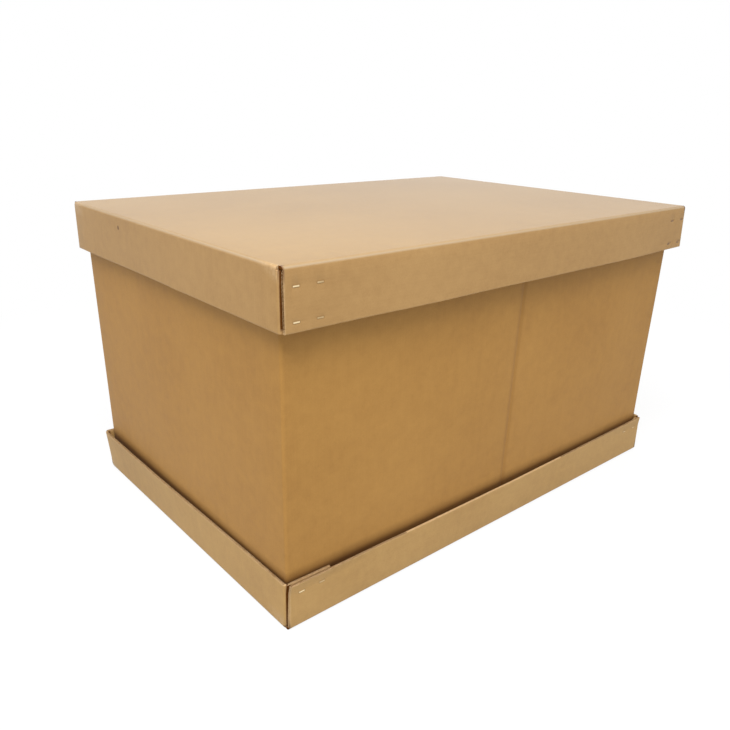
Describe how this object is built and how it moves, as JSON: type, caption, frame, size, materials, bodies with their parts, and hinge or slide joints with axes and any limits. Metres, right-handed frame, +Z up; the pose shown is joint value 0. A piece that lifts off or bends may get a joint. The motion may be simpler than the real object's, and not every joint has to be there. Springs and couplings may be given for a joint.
{
  "type": "bulk pallet box",
  "caption": "Three-piece corrugated bulk box: stapled base tray, tube sleeve and telescoping lid that lifts off",
  "frame": {"origin": "centre of the footprint, on the floor under the base tray", "axes": "+X along the long side, to the right in the picture; +Y to the back; +Z up. The long face in the picture faces -Y and the short one -X."},
  "size_m": [1.2, 0.8406, 0.6681],
  "materials": {
    "board": "matte brown kraft liner, slightly fibrous",
    "wire": "flat stitching wire, pale brassy coating, satin"
  },
  "bodies": {
    "box": {"base_tray": "board", "sleeve": "board", "base_staple_front_left_1": "wire", "base_staple_front_left_2": "wire", "base_staple_front_right_1": "wire", "base_staple_front_right_2": "wire", "base_staple_back_left_1": "wire", "base_staple_back_left_2": "wire", "base_staple_back_right_1": "wire", "base_staple_back_right_2": "wire", "sleeve_staple_1": "wire", "sleeve_staple_2": "wire", "sleeve_staple_3": "wire", "sleeve_staple_4": "wire", "sleeve_staple_5": "wire", "sleeve_staple_6": "wire", "sleeve_staple_7": "wire", "sleeve_staple_8": "wire"},
    "lid": {"lid": "board", "lid_staple_front_left_1": "wire", "lid_staple_front_left_2": "wire", "lid_staple_front_left_3": "wire", "lid_staple_front_left_4": "wire", "lid_staple_front_right_1": "wire", "lid_staple_front_right_2": "wire", "lid_staple_front_right_3": "wire", "lid_staple_front_right_4": "wire", "lid_staple_back_left_1": "wire", "lid_staple_back_left_2": "wire", "lid_staple_back_left_3": "wire", "lid_staple_back_left_4": "wire", "lid_staple_back_right_1": "wire", "lid_staple_back_right_2": "wire", "lid_staple_back_right_3": "wire", "lid_staple_back_right_4": "wire"}
  },
  "joints": [
    {"name": "lid_lift", "type": "slide", "parent": "box", "child": "lid", "axis": [0, 0, 1], "range_m": [0, 0.15]}
  ]
}
